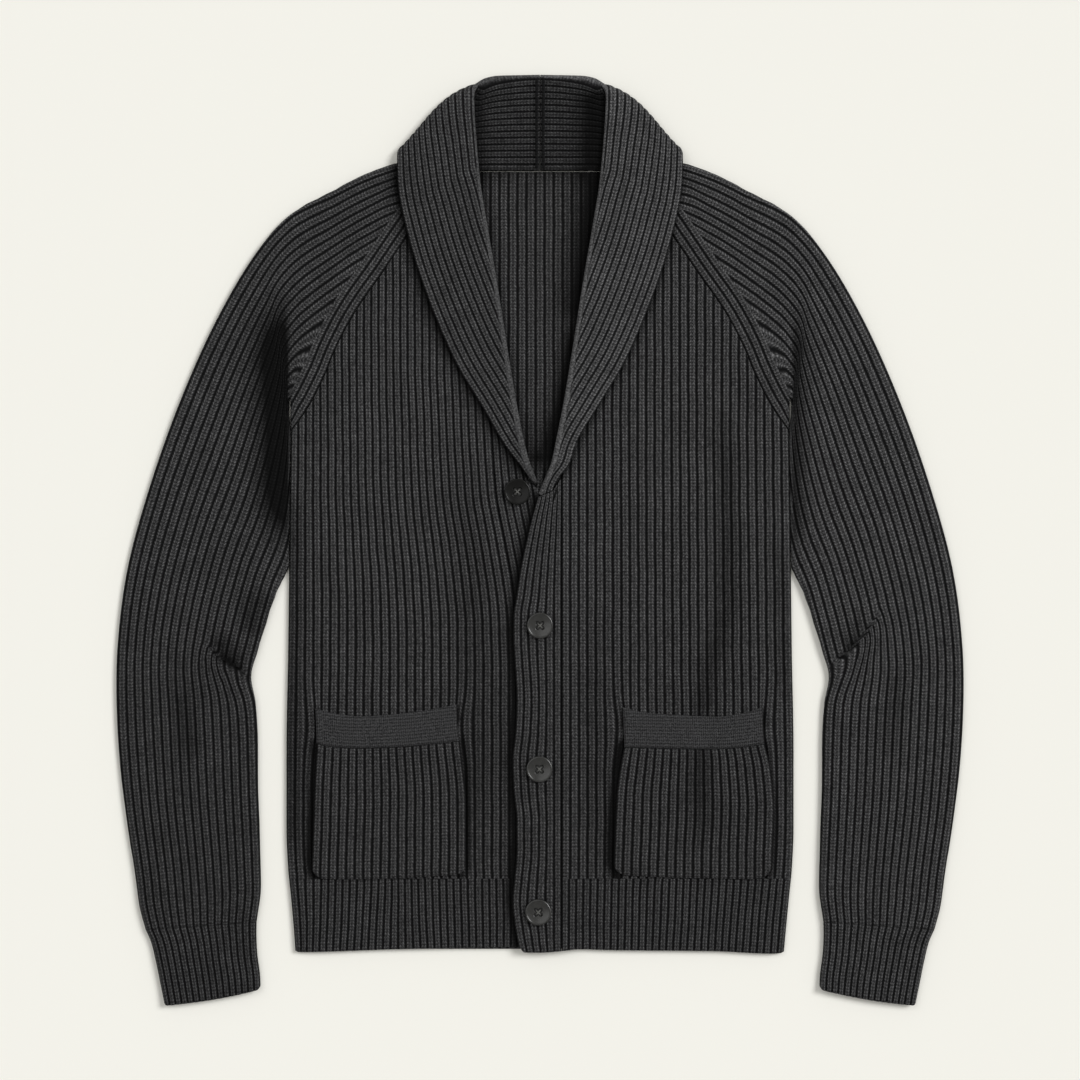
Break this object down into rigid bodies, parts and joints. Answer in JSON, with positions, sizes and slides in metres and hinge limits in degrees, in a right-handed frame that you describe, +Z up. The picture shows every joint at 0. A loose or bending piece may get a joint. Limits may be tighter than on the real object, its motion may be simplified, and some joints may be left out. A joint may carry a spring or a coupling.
{
  "type": "shawl collar cardigan",
  "caption": "Chunky rib-knit cardigan lying flat and closed, with a shawl collar, raglan sleeves, ribbed cuffs and hem, patch pockets and a buttoned front band.",
  "frame": {"origin": "on the surface that the garment lies on, under the middle of its bounding box", "axes": "+Z up out of the front of the garment, +Y from hem to collar, +X towards the wearer's left"},
  "size_m": [0.7788, 0.8563, 0.0158],
  "materials": {
    "rib_knit": "heathered charcoal wool rib knit",
    "jersey_knit": "heathered charcoal wool plain knit",
    "button_plastic": "satin moulded plastic"
  },
  "bodies": {
    "root": {"back_panel": "rib_knit", "back_hem": "rib_knit", "front_left": "rib_knit", "front_right": "rib_knit", "hem_left": "rib_knit", "hem_right": "rib_knit", "band_under": "rib_knit", "band_over": "rib_knit", "sleeve_left": "rib_knit", "sleeve_right": "rib_knit", "cuff_left": "rib_knit", "cuff_right": "rib_knit", "pocket_left": "rib_knit", "pocket_right": "rib_knit", "pocket_band_left": "jersey_knit", "pocket_band_right": "jersey_knit", "collar_left": "rib_knit", "collar_right": "rib_knit", "button_1": "button_plastic", "button_2": "button_plastic", "button_3": "button_plastic", "button_4": "button_plastic"}
  },
  "joints": []
}
